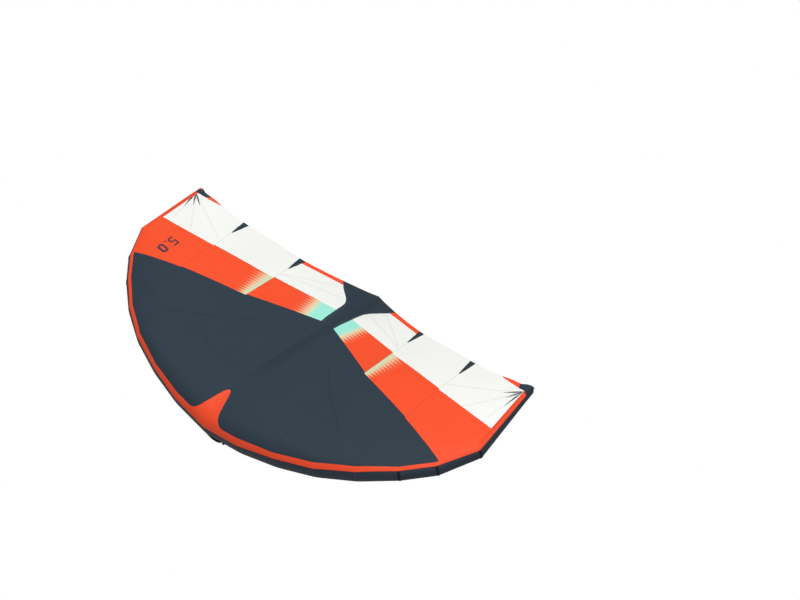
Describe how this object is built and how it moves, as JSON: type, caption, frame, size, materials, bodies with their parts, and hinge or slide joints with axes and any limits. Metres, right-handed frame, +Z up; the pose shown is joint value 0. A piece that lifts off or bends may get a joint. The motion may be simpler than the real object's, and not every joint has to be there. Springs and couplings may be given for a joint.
{
  "type": "inflatable hand-held wing",
  "caption": "V-shaped inflatable wing with a curved air tube, one centre strut, a sewn cloth canopy and padded hand loops on the strut and nose.",
  "frame": {"origin": "balance point on the underside of the strut, between its two handles", "axes": "+X along the span, to the right as seen from in front of the nose; -Y is the flying direction, out of the nose; +Z up, out of the top of the canopy"},
  "size_m": [3.397, 1.8645, 0.6545],
  "materials": {
    "dark_tube_cloth": "coated polyester, satin",
    "dark_canopy_cloth": "coated ripstop, satin",
    "orange_cloth": "coated ripstop, satin",
    "white_cloth": "coated ripstop, satin",
    "black_webbing": "woven webbing over foam, matt",
    "grey_pad": "padded knit cloth, matt",
    "clear_film": "thin film",
    "black_plastic": "moulded, satin",
    "black_rubber": "matt"
  },
  "bodies": {
    "wing": {"bladder_strut": "clear_film", "bladder_tube": "clear_film", "canopy_front_left": "dark_canopy_cloth", "canopy_front_right": "dark_canopy_cloth", "canopy_orange_1_left": "orange_cloth", "canopy_orange_1_right": "orange_cloth", "canopy_orange_2_left": "orange_cloth", "canopy_orange_2_right": "orange_cloth", "canopy_orange_3_left": "orange_cloth", "canopy_orange_3_right": "orange_cloth", "canopy_tail": "dark_canopy_cloth", "canopy_white_1_left": "white_cloth", "canopy_white_1_right": "white_cloth", "canopy_white_2_left": "white_cloth", "canopy_white_2_right": "white_cloth", "canopy_white_3_left": "white_cloth", "canopy_white_3_right": "white_cloth", "dart_inner_left": "dark_canopy_cloth", "dart_inner_right": "dark_canopy_cloth", "dart_outer_left": "dark_canopy_cloth", "dart_outer_right": "dark_canopy_cloth", "front_handle_web": "black_webbing", "hem_inner_left": "orange_cloth", "hem_inner_right": "orange_cloth", "hem_tip_left": "orange_cloth", "hem_tip_right": "orange_cloth", "le_band": "orange_cloth", "le_centre_patch": "orange_cloth", "le_segment_left_1": "dark_tube_cloth", "le_segment_left_2": "dark_tube_cloth", "le_segment_left_3": "dark_tube_cloth", "le_segment_left_4": "dark_tube_cloth", "le_segment_left_5": "dark_tube_cloth", "le_segment_left_6": "dark_tube_cloth", "le_segment_left_7": "dark_tube_cloth", "le_segment_left_8": "dark_tube_cloth", "le_segment_right_1": "dark_tube_cloth", "le_segment_right_2": "dark_tube_cloth", "le_segment_right_3": "dark_tube_cloth", "le_segment_right_4": "dark_tube_cloth", "le_segment_right_5": "dark_tube_cloth", "le_segment_right_6": "dark_tube_cloth", "le_segment_right_7": "dark_tube_cloth", "le_segment_right_8": "dark_tube_cloth", "nose_pad": "grey_pad", "rear_handle_web": "black_webbing", "strut_front": "dark_tube_cloth", "strut_middle": "dark_tube_cloth", "strut_rear": "dark_tube_cloth", "strut_tail_cap": "orange_cloth", "tip_cap_left": "orange_cloth", "tip_cap_right": "dark_tube_cloth", "tip_patch_left": "dark_canopy_cloth", "tip_patch_right": "dark_canopy_cloth", "transfer_hose": "black_rubber", "valve_body": "black_plastic"},
    "front_handle": {"front_handle": "black_webbing"},
    "rear_handle": {"rear_handle": "black_webbing"},
    "nose_handle": {"nose_handle": "black_webbing"},
    "valve_cap": {"valve_cap": "black_rubber"}
  },
  "joints": [
    {"name": "front_handle_swing", "type": "hinge", "parent": "wing", "child": "front_handle", "pos_m": [0, -0.32656, -0.03125], "axis": [0, 0.9999, 0.0107], "range_deg": [-60, 60]},
    {"name": "rear_handle_swing", "type": "hinge", "parent": "wing", "child": "rear_handle", "pos_m": [0, 0.36169, 0.02432], "axis": [0, 0.9988, 0.0481], "range_deg": [-60, 60]},
    {"name": "nose_handle_swing", "type": "hinge", "parent": "wing", "child": "nose_handle", "pos_m": [0, -0.69744, 0.00748], "axis": [1, 0, 0], "range_deg": [-85, 12]},
    {"name": "valve_cap_hinge", "type": "hinge", "parent": "wing", "child": "valve_cap", "pos_m": [0.21173, -0.46582, 0.12839], "axis": [0.9855, 0.0372, 0.1658], "range_deg": [0, 120]}
  ]
}
